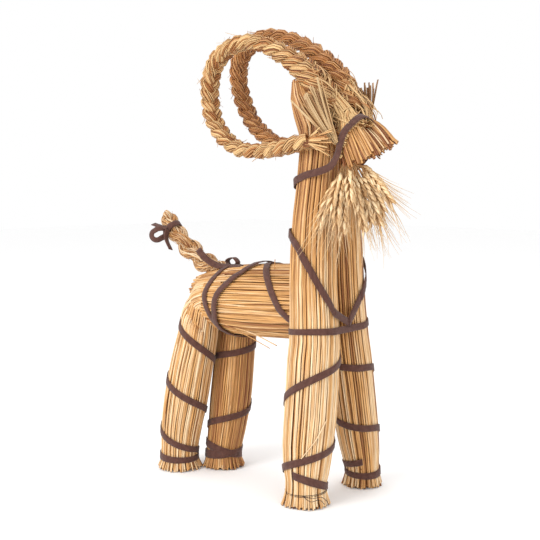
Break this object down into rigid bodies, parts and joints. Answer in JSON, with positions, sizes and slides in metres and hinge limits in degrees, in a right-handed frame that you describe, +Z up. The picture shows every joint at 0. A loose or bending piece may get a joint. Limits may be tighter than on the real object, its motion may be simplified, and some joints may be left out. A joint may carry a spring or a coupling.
{
  "type": "straw goat ornament",
  "caption": "Standing goat of bound straw with plaited horns curled back in loops, a wheat beard and ribbon bindings, for seasonal decoration.",
  "frame": {"origin": "middle of the whole goat's footprint, on the floor that its four feet stand on", "axes": "+Z up, +X the way the goat faces, +Y its left side"},
  "size_m": [0.4228, 0.1694, 0.6237],
  "materials": {
    "straw": "dry straw, satin",
    "tail_straw": "dry straw, satin",
    "plaited_straw": "dry straw, satin",
    "leaf_straw": "dry leaf straw, matt",
    "wheat": "dry wheat, matt",
    "ribbon": "woven ribbon, matt"
  },
  "bodies": {
    "root": {"front_right_bundle": "straw", "front_left_bundle": "straw", "hind_right_bundle": "straw", "hind_left_bundle": "straw", "trunk_bundle": "straw", "tail_plait": "tail_straw", "horn_right_plait": "plaited_straw", "ear_right_fan": "leaf_straw", "horn_left_plait": "plaited_straw", "ear_left_fan": "leaf_straw", "beard_wheat": "wheat", "chest_ribbon": "ribbon", "neck_ribbon": "ribbon", "bridle_ribbon": "ribbon", "front_right_ribbon": "ribbon", "front_left_ribbon": "ribbon", "hind_right_ribbon": "ribbon", "hind_left_ribbon": "ribbon", "rump_ribbon": "ribbon", "slant_ribbon": "ribbon", "tail_ribbon": "ribbon", "withers_ribbon": "ribbon"}
  },
  "joints": []
}
